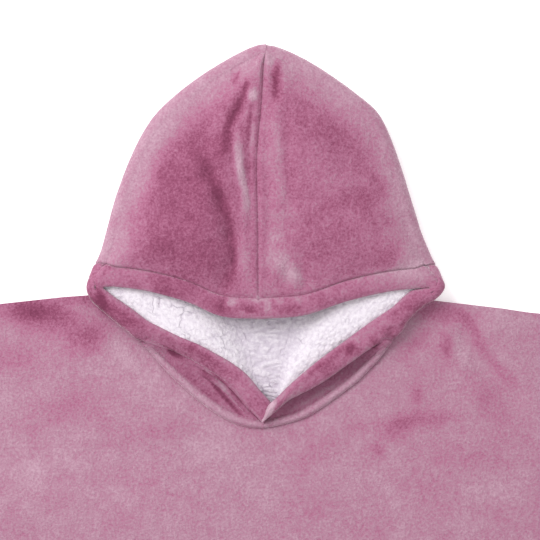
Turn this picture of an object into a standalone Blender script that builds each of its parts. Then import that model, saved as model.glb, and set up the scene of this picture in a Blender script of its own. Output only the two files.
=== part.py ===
# Sherpa hoodie laid flat, front up: the hood is spread above the shoulders with its mouth
# to the viewer. X runs to the viewer's right, Y to the hood's peak, Z up, in metres.
# Tables are in millimetres from the nape, with the floor at z = 0. Left and right are
# the viewer's.

import math

import bmesh
import bpy
import numpy as np

MM = 0.001
CENTRE = np.array((0.0, 302.856, 0.0))  # moves the tables' origin to the garment's middle
WALL = 5.0  # plush face and sherpa lining together
HEM_WALL = 8.0  # the turned edge round the hood's mouth
HEM_WIDTH = 19.8
SEAM_GAP = 0.3
HOOD_START = HEM_WIDTH + 0.8
FLOOR_LAYER = WALL / 2
FRONT_BASE = WALL + SEAM_GAP
ON_BODY = 2 * WALL + SEAM_GAP + 3.4  # mid height of hood cloth that lies on the shoulder
SLEEVE_FOLD = 3.0
HOOD_ROWS_PER_SECTION = 1.9
HOOD_COLUMNS = 18

# One row for each section of a hood half, from the throat round the corner to the peak.
# edge: free edge of the hem. stitch: where hem meets panel, or the crown seam above the
# forehead. mid: height half way to the fold. fold: outline point. turn: fold radius.
# under: height below the fold. back: end of the row, on the neck seam or the back seam.
COLUMNS = (
    "edge_x", "edge_y", "edge_z", "stitch_x", "stitch_y", "stitch_z", "mid_z",
    "fold_x", "fold_y", "turn", "under", "back_x", "back_y", "back_z",
)
LEFT_HOOD = (
    # edge             stitch             mid  fold           turn under  back
    (4, -104, 18.6,    -7.5, -120, 15.5,  12, -6.0, -124.2,   0.3, 12.0, -4, -127.8, 8.5),
    (-22, -72, 22,     -35, -86, 20.5,    13, -42, -110,      0.3, 12.5, -45, -117, 8.5),
    (-59, -49, 24.4,   -67, -64, 23.5,    13, -73, -85,       0.3, 12.5, -76, -93, 8.5),
    (-84, -38, 25.2,   -91, -51, 24.5,    15, -97, -66,       0.3, 12.5, -99, -73, 8.5),
    (-108, -26, 25.6,  -116, -38, 25.2,   20, -115.5, -50,    1.0, 13.6, -112.5, -54, 11.5),
    (-120, -19, 25.6,  -127, -28, 25.6,   25, -133, -33,      5.6, 13.7, -126, -36, 12.5),
    (-133, -9, 26,     -139, -16, 26,     26, -146, -24,      6.2, 13.7, -126.5, -18, 13.7),
    (-149, 2, 26.2,    -156, -4, 26.2,    26, -163, -11,      6.2, 13.7, -126.5, -4, 13.7),
    (-158, 9, 26.5,    -166, 5, 26.5,     26, -174.5, 0,      6.3, 13.7, -126, 6, 13.7),
    (-162, 12, 27,     -170, 13, 26.5,    26, -179, 13,       6.6, 12.5, -116, 6.4, 9),
    (-158, 13.2, 27.5, -164, 26, 26.8,    25, -175.5, 29,       8.0, 8.0, -90, 2.6, 5),
    (-147, 13, 28,     -152, 32, 28,      27, -167, 46,       9.5, 3.0, -60, -4.0, 2.6),
    (-118, 9, 29.5,    -120, 29, 30.5,    33, -159.6, 70,     11, 2.5, -28, -8.0, 2.5),
    (-79, -1.5, 31,    -78, 17, 32,       38, -149, 107,      12, 2.5, -0.4, 6, 2.5),
    (-44, -16, 32,     -43, 3, 33,        41, -133, 148,      12, 2.5, -0.4, 46, 2.5),
    (-4.9, -18.6, 33,  -8, 1.2, 34,       43, -113, 183,      12, 2.5, -0.4, 88, 2.5),
    (0, 0, 0,          -8.4, 72, 39,      44, -88, 207.5,     12, 2.5, -0.4, 132, 2.5),
    (0, 0, 0,          -9.2, 140, 39,     41, -62, 227,       11.5, 2.5, -0.4, 178, 2.5),
    (0, 0, 0,          -4.6, 196, 35,     36, -34, 244,       11, 2.5, -0.4, 216, 2.5),
    (0, 0, 0,          -2.9, 232, 29,     29, -12, 254.6,     10.5, 2.5, -0.4, 241, 2.5),
    (0, 0, 0,          -0.4, 247, 24.2,   24, -0.4, 257,      10, 2.5, -0.4, 247, 2.5),
)
RIGHT_HOOD = (
    (9, -102, 27.2,    -0.5, -120, 18,    15.5, -1, -124.4,     0.3, 12.0, -2.6, -127.8, 8.5),
    (28, -81, 27,      20, -102, 22,      13, 30, -114,       0.3, 12.5, 36, -120.5, 8.5),
    (51, -61, 26,      57, -80, 23,       13, 62, -97,        0.3, 12.5, 66, -102, 8.5),
    (78, -41, 26,      86, -58, 24.5,     14, 89, -78,        0.3, 12.5, 92, -83.5, 8.5),
    (101, -24, 26,     109, -38, 25.5,    20, 113, -54,       1.0, 13.6, 112.5, -59.5, 11.5),
    (114, -15, 26,     121, -26, 26,      25, 131, -34,       5.6, 13.7, 126.5, -41, 12.5),
    (127, -6, 26,      133, -14, 26,      26, 141, -21,       6.2, 13.7, 128, -24, 13.7),
    (143, 6, 26.2,     150, 0, 26.2,      26, 158, -7,        6.2, 13.7, 128, -8, 13.7),
    (155, 9.2, 26.5,   162, 6, 26.5,      26, 171, 2.5,       6.3, 13.7, 126.5, 3, 13.7),
    (162, 10.4, 27,    170, 13, 26.5,     26, 179, 14,        6.6, 12.5, 117, 4.4, 9),
    (157, 11.2, 27.5,  162.5, 26, 26.8,   25, 174.8, 29,      8.0, 8.0, 90, 1.4, 5),
    (145, 11.2, 28,    149, 31, 28,       27, 166.6, 44,      9.5, 3.0, 60, -4.2, 2.6),
    (119, 8, 29.5,     120, 28, 30.5,     33, 156, 69,        11, 2.5, 28, -8.0, 2.5),
    (79, -1.5, 31,     78, 17, 32,        38, 144.5, 105,     12, 2.5, 0.4, 6, 2.5),
    (38, -15, 32,      37, 5, 33,         41, 131, 147,       12, 2.5, 0.4, 46, 2.5),
    (-4.1, -18.6, 33,  -7.2, 1.2, 34,     43, 114, 186,       12, 2.5, 0.4, 88, 2.5),
    (0, 0, 0,          -7.6, 72, 39,      44, 90, 208,        12, 2.5, 0.4, 132, 2.5),
    (0, 0, 0,          -8.4, 140, 39,     41, 62, 228.5,      11.5, 2.5, 0.4, 178, 2.5),
    (0, 0, 0,          -3.8, 196, 35,     36, 35, 244.5,      11, 2.5, 0.4, 216, 2.5),
    (0, 0, 0,          -2.1, 232, 29,     29, 13, 254,        10.5, 2.5, 0.4, 241, 2.5),
    (0, 0, 0,          0.4, 247, 24.2,    24, 0.4, 257,       10, 2.5, 0.4, 247, 2.5),
)
FOREHEAD = 15  # the section where the hem's stitch line meets the crown seam
JAW = 5  # the first section whose cloth turns under
CORNER = 9

# Soft folds in the hood's upper layer: each runs from a start to an end, with its
# half width and its height, negative for a trough.
HOOD_FOLDS = (
    # start_x, start_y, end_x, end_y, width, height
    (-87, 172, -42, 80, 17, -3.6),
    (-31, 204, -32, 130, 15, -2.6),
    (-18, 205, -20, 95, 10, 1.8),
    (12, 238, 12, 190, 10, -3.2),
    (60, 190, 84, 80, 34, 2.6),
    (-112, 120, -100, 60, 26, 2.4),
    (-40, 40, -25, 20, 16, 1.5),
    (20, 44, 34, 30, 16, 2.0),
)
# Soft folds in the front panel's face, in the same columns.
FRONT_FOLDS = (
    (196, -14, 216, -60, 14, -1.6),
    (218, -40, 300, -150, 20, 2.6),
    (-178, -60, -110, -120, 26, 1.8),
    (-250, -200, -90, -230, 40, 2.2),
    (60, -170, 210, -240, 40, 2.0),
    (-330, -420, -300, -760, 45, 2.4),
    (-90, -400, -120, -700, 50, 2.0),
    (150, -380, 110, -640, 45, 2.2),
    (340, -450, 330, -780, 45, 2.4),
    (-420, -110, -360, -330, 30, 2.0),
    (420, -110, 360, -330, 30, 2.0),
)

# Outer edge that front and back share, from the left shoulder round the hem to the right.
BODY_EDGE = (
    # x, y, share of the front neckline, share of the back neckline
    (-470, -30, 0.000, 0.00),
    (-470, -180, 0.035, 0.06),
    (-470, -330, 0.090, 0.12),
    (-474, -510, 0.180, 0.20),
    (-479, -690, 0.270, 0.27),
    (-484, -856, 0.345, 0.33),
    (-330, -861, 0.400, 0.38),
    (-160, -864, 0.455, 0.44),
    (0, -865, 0.500, 0.50),
    (160, -864, 0.545, 0.56),
    (330, -861, 0.600, 0.62),
    (484, -856, 0.655, 0.67),
    (479, -690, 0.730, 0.73),
    (474, -510, 0.820, 0.80),
    (470, -330, 0.910, 0.88),
    (470, -180, 0.965, 0.94),
    (470, -32, 1.000, 1.00),
)
SHOULDER_SAG = ((-128, 8), (-206, 2.6), (-266, -4), (-470, -30))
BACK_NECK = ((-128, 8), (-90, -0.2), (-60, -6.4), (-28, -9.6), (0, -10), (28, -9.6), (60, -6.6), (90, -1.4), (128, 4))

# Sleeve stations: distance from the armhole along the top edge, and both edges there.
SLEEVE = (
    # out, top_y, low_y
    (0, 0, -300),
    (60, -8, -286),
    (150, -22, -272),
    (260, -41, -262),
    (360, -59, -258),
    (415, -69, -256),
    (432, -72, -255.5),
)
SLEEVE_SKEW = 0.16  # the lower edge ends this much nearer the body, so the cuff is square

# Sherpa lining of each hood side, from the V's bottom up under the hood.
LINING_COLUMNS = ("outer_x", "outer_y", "outer_z", "inner_x", "inner_y", "inner_z", "swell")
LEFT_LINING = (
    (-7, -91, 13.3, -3, -91, 13.3, 0.1),
    (-30, -78, 13.4, -10, -80, 13.5, 0.9),
    (-62, -61, 13.8, -15, -62, 13.6, 2.6),
    (-88, -47, 14.4, -18, -46, 13.6, 4.6),
    (-111, -33, 18.4, -24, -31, 13.8, 5.6),
    (-136, -8, 19.5, -33, -14, 13.8, 4.8),
    (-147, 7, 19.2, -40, 8, 13.8, 3.6),
    (-140, 36, 19.0, -46, 34, 13.8, 2.6),
    (-132, 62, 15.4, -50, 60, 13.6, 2.0),
)
RIGHT_LINING = (
    (20, -97, 13.4, 10, -95, 13.4, 0.3),
    (40, -79, 13.6, 13, -80, 13.6, 2.2),
    (64, -60, 14.2, 16, -62, 13.8, 4.4),
    (86, -44, 14.6, 20, -46, 13.8, 5.4),
    (106, -30, 18.2, 24, -31, 13.8, 5.8),
    (130, -6, 19.2, 28, -14, 13.8, 4.8),
    (144, 7, 19.2, 34, 8, 13.8, 3.6),
    (140, 36, 19.0, 40, 34, 13.8, 2.6),
    (132, 62, 15.4, 44, 60, 13.6, 2.0),
)
NAPE = (
    # y, left_x, right_x
    (-112, -3, 9),
    (-95, -14, 20),
    (-70, -34, 34),
    (-35, -46, 44),
    (10, -62, 56),
    (62, -68, 62),
)

PLUSH = (0.42, 0.16, 0.27, 1.0)
HEM = (0.39, 0.14, 0.25, 1.0)
SHERPA = (0.80, 0.76, 0.80, 1.0)


def smooth(low, high, value):
    t = np.clip((value - low) / (high - low), 0.0, 1.0)
    return t * t * (3 - 2 * t)


def through(rows, at):
    """A smooth curve through equally spaced rows, read at one place."""
    last = len(rows) - 1
    i = int(min(max(math.floor(at), 0), last - 1))
    t = at - i
    a, b = rows[i], rows[i + 1]
    before = rows[i - 1] if i > 0 else 2 * a - b
    after = rows[i + 2] if i + 2 <= last else 2 * b - a
    return 0.5 * (
        2 * a + (b - before) * t + (2 * before - 5 * a + 4 * b - after) * t * t
        + (3 * a - before - 3 * b + after) * t * t * t
    )


def polyline(points, shares):
    """Points at shares of the length of a line through the given points."""
    points = np.asarray(points, float)
    steps = np.linalg.norm(np.diff(points, axis=0), axis=1)
    length = np.concatenate([[0.0], np.cumsum(steps)])
    at = np.asarray(shares, float) * length[-1]
    return np.stack([np.interp(at, length, points[:, k]) for k in range(points.shape[1])], axis=-1)


def fold_height(folds, x, y):
    """Height that a table of soft folds adds at a place."""
    total = 0.0
    for start_x, start_y, end_x, end_y, width, height in folds:
        run_x, run_y = end_x - start_x, end_y - start_y
        length = math.hypot(run_x, run_y)
        t = ((x - start_x) * run_x + (y - start_y) * run_y) / length**2
        off = abs((x - start_x) * run_y - (y - start_y) * run_x) / length
        beyond = max(0.0, -t, t - 1.0) * length
        ends = math.exp(-((beyond / (1.4 * width)) ** 2))
        total += height * ends * math.exp(-((off / width) ** 2))
    return total


def over_shoulder(x, y):
    """How much of the body's two layers lies under a place in the hood."""
    away = math.hypot(max(0.0, 126 - abs(x)), max(0.0, y - 9))
    return FLOOR_LAYER + (ON_BODY - FLOOR_LAYER) * float(1 - smooth(3, 28, away))


def section(table, at):
    """The named sizes of one hood section, between two rows of the table."""
    rows = np.array(table, float)
    sizes = dict(zip(COLUMNS, through(rows, at)))
    half = FOREHEAD if at >= FOREHEAD else 0
    part = rows[FOREHEAD:] if half else rows[: FOREHEAD + 1]
    split = dict(zip(COLUMNS, through(part, at - half)))
    for name in ("edge_x", "edge_y", "edge_z", "stitch_x", "stitch_y", "stitch_z"):
        sizes[name] = split[name]
    whole = np.arange(len(rows))
    for name in ("back_x", "back_y", "back_z", "turn"):
        sizes[name] = float(np.interp(at, whole, rows[:, COLUMNS.index(name)]))
    return sizes


def hood_row(table, at):
    """One section as a dense line: hem, upper layer, fold, lower layer."""
    z = section(table, at)
    edge = np.array([z["edge_x"], z["edge_y"], z["edge_z"]])
    stitch = np.array([z["stitch_x"], z["stitch_y"], z["stitch_z"]])
    fold = np.array([z["fold_x"], z["fold_y"]])
    back = np.array([z["back_x"], z["back_y"]])
    turn = max(z["turn"], 0.2)
    full = float(np.interp(at, (JAW - 1, JAW, CORNER + 1, CORNER + 2), (1, 0, 0, 1)))
    if at <= FOREHEAD:
        reach = np.linalg.norm(stitch - edge)
        hem = reach * (1 - full) + (HEM_WIDTH + HOOD_START) / 2 * full
        stitch = edge + (stitch - edge) * hem / reach
    low = z["under"] if at < JAW else max(z["under"], over_shoulder(*fold))
    inward = fold - stitch[:2]
    inward = inward / np.linalg.norm(inward)
    homeward = fold - back
    homeward = homeward / np.linalg.norm(homeward)
    if at >= len(table) - 1.02:
        inward = homeward = np.array([0.0, 1.0])
    rim = np.append(fold - inward * turn, low + 2 * turn)
    middle = 0.5 * (stitch + rim)
    middle[2] = z["mid_z"]
    stops = np.array([stitch, middle, rim])
    line = [through(stops, t) for t in np.linspace(0, 2, 30)]
    if at <= FOREHEAD:
        line = [edge + (stitch - edge) * t for t in np.linspace(0, 1, 10, endpoint=False)] + line
    for point in line:
        near = min(1.0, math.dist(point[:2], rim[:2]) / 30)
        if at > CORNER + 1:
            point[2] += near * fold_height(HOOD_FOLDS, point[0], point[1])
    for angle in np.linspace(0, math.pi, 17)[1:]:
        lean = inward * (1 - angle / math.pi) + homeward * angle / math.pi
        lean = lean / np.linalg.norm(lean)
        place = fold - lean * turn * (1 - math.sin(angle))
        line.append(np.append(place, low + turn * (1 + math.cos(angle))))
    start = line[-1]
    for t in np.linspace(0, 1, 16)[1:]:
        place = start[:2] * (1 - t) + back * t
        height = low + (z["back_z"] - low) * float(smooth(0, 1, t))
        if at >= JAW:
            height = max(height, over_shoulder(*place))
        line.append(np.append(place, height))
    return np.array(line)


def measure(line):
    steps = np.linalg.norm(np.diff(line, axis=0), axis=1)
    return np.concatenate([[0.0], np.cumsum(steps)])


def read_line(line, length, at):
    return np.stack([np.interp(at, length, line[:, k]) for k in range(3)], axis=-1)


def column_places(line, length, at):
    """Distances along a section at which the panel has its columns."""
    start = HOOD_START if at <= FOREHEAD else 0.0
    whole = length[-1]
    even = start + (whole - start) * np.linspace(0, 1, HOOD_COLUMNS + 1)
    top, turned = length[-32], length[-16]
    upper = np.interp(at, (CORNER + 2, CORNER + 5), (1.5, 0.5 * HOOD_COLUMNS))
    around = np.interp(at, (CORNER + 2, CORNER + 5), (3.7, 0.25 * HOOD_COLUMNS))
    marks = (0, upper, upper + around, HOOD_COLUMNS)
    stops = (start, max(top, start + 1), max(turned, start + 2), whole)
    shaped = np.interp(np.arange(HOOD_COLUMNS + 1), marks, stops)
    share = float(smooth(CORNER + 1.5, CORNER + 2.5, at))
    return even * (1 - share) + shaped * share


def hood_places(last):
    hem = np.linspace(0, FOREHEAD, round(FOREHEAD * HOOD_ROWS_PER_SECTION) + 1)
    crown = np.linspace(FOREHEAD, last, round((last - FOREHEAD) * HOOD_ROWS_PER_SECTION) + 1)
    return np.concatenate([hem, crown[1:]])


def sheet_normals(points, along, side):
    """Unit normals from the rows' own tangents and the step between rows."""
    across = np.gradient(points, axis=0)
    normals = np.cross(across, along) * side
    size = np.linalg.norm(normals, axis=2, keepdims=True)
    return normals / np.maximum(size, 1e-9)


def hood_grid(table, side, places, columns_of):
    """Mid points and normals of part of a hood half."""
    points, along = [], []
    for at in places:
        line = hood_row(table, at)
        length = measure(line)
        cut = columns_of(line, length, at)
        points.append(read_line(line, length, cut))
        ahead = read_line(line, length, np.minimum(cut + 1.6, length[-1]))
        behind = read_line(line, length, np.maximum(cut - 1.6, 0.0))
        along.append(ahead - behind)
    points = np.array(points)
    return points, sheet_normals(points, np.array(along), side)


def thick_sheet(name, upper, lower, colour, closed=False):
    """A solid wall between two grids of points, rows by columns."""
    rows, columns = upper.shape[:2]
    mesh = bmesh.new()
    above = [[mesh.verts.new((p + CENTRE) * MM) for p in row] for row in upper]
    below = [[mesh.verts.new((p + CENTRE) * MM) for p in row] for row in lower]
    spans = columns if closed else columns - 1
    for i in range(rows - 1):
        for j in range(spans):
            k = (j + 1) % columns
            mesh.faces.new((above[i][j], above[i][k], above[i + 1][k], above[i + 1][j]))
            mesh.faces.new((below[i][j], below[i + 1][j], below[i + 1][k], below[i][k]))
    for i in (0, rows - 1):
        for j in range(spans):
            k = (j + 1) % columns
            ring = (above[i][j], below[i][j], below[i][k], above[i][k])
            mesh.faces.new(ring if i == 0 else ring[::-1])
    if not closed:
        for j in (0, columns - 1):
            for i in range(rows - 1):
                ring = (above[i][j], above[i + 1][j], below[i + 1][j], below[i][j])
                mesh.faces.new(ring if j == 0 else ring[::-1])
    bmesh.ops.triangulate(mesh, faces=mesh.faces[:], quad_method="SHORT_EDGE")
    bmesh.ops.recalc_face_normals(mesh, faces=mesh.faces[:])
    data = bpy.data.meshes.new(name)
    mesh.to_mesh(data)
    mesh.free()
    item = bpy.data.objects.new(name, data)
    material = bpy.data.materials.new(name + "_cloth")
    material.use_nodes = True
    surface = material.node_tree.nodes["Principled BSDF"]
    surface.inputs["Base Color"].default_value = colour
    surface.inputs["Roughness"].default_value = 0.9
    data.materials.append(material)
    garment.objects.link(item)
    return item


def stitch_normals(table, side):
    """Normals on the stitch line, which hem and panel share."""
    places = hood_places(len(table) - 1)
    places = places[places <= FOREHEAD]
    meet = np.array([(HEM_WIDTH + HOOD_START) / 2])
    normals = hood_grid(table, side, places, lambda line, length, at: meet)[1]
    normals[-1, 0] = upright(normals[-1, 0])
    normals[0, 0] = upright(normals[0, 0])
    return normals[:, 0]


def hood_panel(name, table, side):
    places = hood_places(len(table) - 1)
    points, normals = hood_grid(table, side, places, column_places)
    shared = stitch_normals(table, side)
    normals[: len(shared), 0] = shared
    seam = places >= FOREHEAD
    for i in range(len(places)):
        if seam[i]:
            normals[i, 0] = upright(normals[i, 0])
        if places[i] > CORNER - 1:
            normals[i, -1] = (0, 0, -1)
        for j in range(3):
            if places[i] > len(table) - 3:
                normals[i, j] = upright(normals[i, j])
        if places[i] < JAW - 0.5:
            normals[i, -1] = (0, 0, 1)
    for j in range(normals.shape[1]):
        normals[-1, j] = upright(normals[-1, j])
        normals[0, j] = upright(normals[0, j])
    wall = np.full(points.shape[:2], WALL)
    wall[:, 0] *= 0.8
    half = normals * wall[:, :, None] / 2
    thick_sheet(name, points + half, points - half, PLUSH)


def upright(normal):
    """A normal kept in the seam's own plane, so two halves meet without crossing."""
    kept = np.array([0.0, normal[1], normal[2]])
    return kept / np.linalg.norm(kept)


def hood_edge(name, table, side):
    """The turned hem round half of the mouth, thicker than the panel."""
    places = hood_places(len(table) - 1)
    places = places[places <= FOREHEAD]
    cuts = np.array([0.0, 2.2, 7.0, 13.5, HEM_WIDTH])
    thick = np.array([0.55, 0.86, 1.0, 1.0, 0.68]) * HEM_WALL
    points, normals = hood_grid(table, side, places, lambda line, length, at: cuts)
    normals[:, -1] = stitch_normals(table, side)
    for j in range(normals.shape[1]):
        normals[-1, j] = upright(normals[-1, j])
        normals[0, j] = upright(normals[0, j])
        points[-1, j, 0] = points[-1, 0, 0] + (points[-1, j, 1] - points[-1, 0, 1]) * -0.155
    half = normals * (thick / 2)[None, :, None]
    thick_sheet(name, points + half, points - half, HEM)


def neckline_front():
    """The front neck seam, from the left shoulder down and up to the right one."""
    left = [(row[11], row[12]) for row in LEFT_HOOD[:JAW]]
    right = [(row[11], row[12]) for row in RIGHT_HOOD[:JAW]]
    left_side = [(-129.2, -34), (-130, -12), (-128, 8)]
    right_side = [(129.2, -36), (131.5, -16), (128, 4)]
    line = (left + left_side)[::-1] + (right + right_side)[1:]
    smooth_line = [through(np.array(line, float), t) for t in np.linspace(0, len(line) - 1, 97)]
    return moved_out(np.array(smooth_line), (0, -30))


def moved_out(line, centre):
    """A line moved away from a centre by a little more than the seam's gap."""
    away = line - np.array(centre, float)
    return line + away / np.linalg.norm(away, axis=1, keepdims=True) * 1.4


def shoulder(side, end_y):
    line = [(side * abs(x), y) for x, y in SHOULDER_SAG]
    if side > 0:
        line = [(128, 4), (206, -5), (266, -11), (470, end_y)]
    return np.array(line, float)


def body_panel(name, neck, share_column, base, top_folds, around, outward):
    """Front or back: lines fan out from the neckline to the shoulders, sides and hem."""
    edge = np.array(BODY_EDGE, float)
    at = np.linspace(0, len(edge) - 1, around + 1)
    index = np.arange(len(edge))
    outer = np.stack([np.interp(at, index, edge[:, k]) for k in (0, 1)], axis=-1)
    inner = polyline(neck, np.interp(at, index, edge[:, share_column]))
    steps = np.linspace(0, 1, outward + 1) ** 1.35
    upper, lower = [], []
    for i in range(around + 1):
        row_top, row_low = [], []
        for t in steps:
            place = inner[i] * (1 - t) + outer[i] * t
            if i in (0, around):
                line = shoulder(-1 if i == 0 else 1, outer[i][1])
                place = polyline(line, [t])[0]
                if t == 0:
                    place = inner[i]
            height = base + WALL
            if top_folds:
                clear = smooth(30, 70, math.dist(place, (np.clip(place[0], -165, 165), 4)))
                height += max(-1.8, float(clear) * fold_height(top_folds, *place))
            row_top.append((place[0], place[1], height))
            row_low.append((place[0], place[1], base))
        upper.append(row_top)
        lower.append(row_low)
    thick_sheet(name, np.array(upper), np.array(lower), PLUSH)


def sleeve(name, side):
    """A flattened tube: rings lofted through the stations."""
    stations = np.array(SLEEVE, float)
    top_start = -30.0 if side < 0 else -32.0
    rings, normals = [], []
    around = 9
    for out in np.interp(np.linspace(0, 1, 11), np.linspace(0, 1, len(stations)), stations[:, 0]):
        top = top_start + np.interp(out, stations[:, 0], stations[:, 1])
        low = top_start + np.interp(out, stations[:, 0], stations[:, 2])
        ring, facing = [], []
        def place(y, z, ny, nz):
            share = (top - y) / (top - low)
            x = side * (470.5 + out * (1 - SLEEVE_SKEW * share))
            ring.append((x, y, z))
            facing.append((0.0, ny, nz))
        inner_top, inner_low = top - WALL / 2 - SLEEVE_FOLD, low + WALL / 2 + SLEEVE_FOLD
        middle = FLOOR_LAYER + SLEEVE_FOLD
        for y in np.linspace(inner_top, inner_low, around):
            place(y, middle + SLEEVE_FOLD, 0, 1)
        for angle in (45, 90, 135):
            a = math.radians(angle)
            place(inner_low - SLEEVE_FOLD * math.sin(a), middle + SLEEVE_FOLD * math.cos(a), -math.sin(a), math.cos(a))
        for y in np.linspace(inner_low, inner_top, around):
            place(y, middle - SLEEVE_FOLD, 0, -1)
        for angle in (135, 90, 45):
            a = math.radians(angle)
            place(inner_top + SLEEVE_FOLD * math.sin(a), middle + SLEEVE_FOLD * math.cos(a), math.sin(a), math.cos(a))
        rings.append(ring)
        normals.append(facing)
    rings, normals = np.array(rings), np.array(normals)
    half = normals * WALL / 2
    thick_sheet(name, rings + half, rings - half, PLUSH, closed=True)


def lining_side(name, table):
    """The sherpa that swells inside one side of the mouth."""
    rows = np.array(table, float)
    upper, lower = [], []
    for at in np.linspace(0, len(rows) - 1, 15):
        z = dict(zip(LINING_COLUMNS, through(rows, at)))
        row = []
        for t in np.linspace(0, 1, 11):
            x = z["outer_x"] * (1 - t) + z["inner_x"] * t
            y = z["outer_y"] * (1 - t) + z["inner_y"] * t
            swell = z["swell"] * math.sin(math.pi * t**1.8)
            row.append((x, y, z["outer_z"] * (1 - t) + z["inner_z"] * t + max(0.0, swell)))
        upper.append(row)
    upper = np.array(upper)
    lower = upper - np.array([0, 0, WALL / 2 + 0.1])
    upper = upper + np.array([0, 0, WALL / 2])
    thick_sheet(name, upper, lower, SHERPA)


def nape_lining():
    rows = np.array(NAPE, float)
    upper, lower = [], []
    for at in np.linspace(0, len(rows) - 1, 14):
        y, left, right = through(rows, at)
        xs = np.linspace(left, right, 9)
        upper.append([(x, y, FRONT_BASE + WALL) for x in xs])
        lower.append([(x, y, FRONT_BASE) for x in xs])
    thick_sheet("nape_lining", np.array(upper), np.array(lower), SHERPA)


for old in list(bpy.data.objects):
    bpy.data.objects.remove(old, do_unlink=True)
bpy.context.scene.unit_settings.system = "METRIC"
bpy.context.scene.unit_settings.scale_length = 1.0
garment = bpy.data.collections.new("sherpa_hoodie")
bpy.context.scene.collection.children.link(garment)

body_panel("body_back", BACK_NECK, 3, 0.0, None, 32, 7)
body_panel("body_front", neckline_front(), 2, FRONT_BASE, FRONT_FOLDS, 48, 12)
sleeve("sleeve_left", -1)
sleeve("sleeve_right", 1)
hood_panel("hood_left", LEFT_HOOD, 1)
hood_panel("hood_right", RIGHT_HOOD, -1)
hood_edge("hood_edge_left", LEFT_HOOD, 1)
hood_edge("hood_edge_right", RIGHT_HOOD, -1)
lining_side("hood_lining_left", LEFT_LINING)
lining_side("hood_lining_right", RIGHT_LINING)
nape_lining()
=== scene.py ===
import math

import bmesh
import bpy
import numpy as np
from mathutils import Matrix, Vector, noise


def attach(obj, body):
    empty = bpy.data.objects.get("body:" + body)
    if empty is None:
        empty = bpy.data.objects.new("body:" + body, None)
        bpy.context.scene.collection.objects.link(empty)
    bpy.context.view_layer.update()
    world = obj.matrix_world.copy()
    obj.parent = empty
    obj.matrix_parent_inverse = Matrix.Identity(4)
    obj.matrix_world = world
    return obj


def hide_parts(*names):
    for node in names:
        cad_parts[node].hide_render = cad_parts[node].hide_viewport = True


# A sherpa-lined hoodie laid flat, front up, seen from straight above.
# Tables are in millimetres from the nape, as they are in the part. Left and right are the viewer's.
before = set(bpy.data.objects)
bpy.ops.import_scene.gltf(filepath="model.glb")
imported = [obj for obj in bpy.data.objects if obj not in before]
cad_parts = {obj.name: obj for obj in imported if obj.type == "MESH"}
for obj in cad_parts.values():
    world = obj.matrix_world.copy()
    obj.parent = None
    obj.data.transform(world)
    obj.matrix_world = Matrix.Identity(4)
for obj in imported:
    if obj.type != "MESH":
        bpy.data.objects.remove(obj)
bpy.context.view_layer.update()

mm = 0.001
centre = np.array((0.0, 302.856, 0.0))  # from the nape to the model's own middle

body = {
    "wall": 5.0,  # plush face and sherpa lining together
    "floorLayer": 2.5,  # mid height of cloth that lies on the floor
    "frontBase": 5.3,  # underside of the front
    "onBody": 13.7,  # mid height of hood cloth that lies on the shoulder
    "around": 240,
    "outward": 84,
    "hemFrom": 26.0,  # stitch line of the bottom hem, from its edge
    "halfWidth": 484,  # at the bottom hem
    "hemY": -856,  # the hem's edge at the sides
    "seamDip": 2.2,
    "stitchDip": 1.2,
    "stitchShade": 0.45,
    "rimDip": 2.6,
    "neckDip": 1.6,
    "nap": 0.85,  # the pile of body and sleeves lies towards the light
}

hood = {
    "rowsPerSection": 13,
    "columns": 126,
    "hemWidth": 19.8,
    "hemEase": 0.4,
    "hemTuck": 0.8,  # how far the hem laps onto the hood
    "hemWall": 8.0,
    "seamGroove": 0.9,
    "seamShut": 0.75,  # closes the crown seam
    "peakShut": 0.55,
    "rimLight": 1.1,  # painted highlight where the pile over the folded side catches the light
    "rimWidth": 34,
    # painted highlight on the roll along the neck seam
    "rollLight": 1.1,
    "rollFrom": 5.6,  # the roll's middle, from the neck seam
    "clump": 0.6,
    "forehead": 15,  # the section where the hem's stitch line meets the crown seam
    "jaw": 5,  # the first section whose cloth turns under
    "corner": 9,  # the section at the mouth's corner
}

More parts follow.
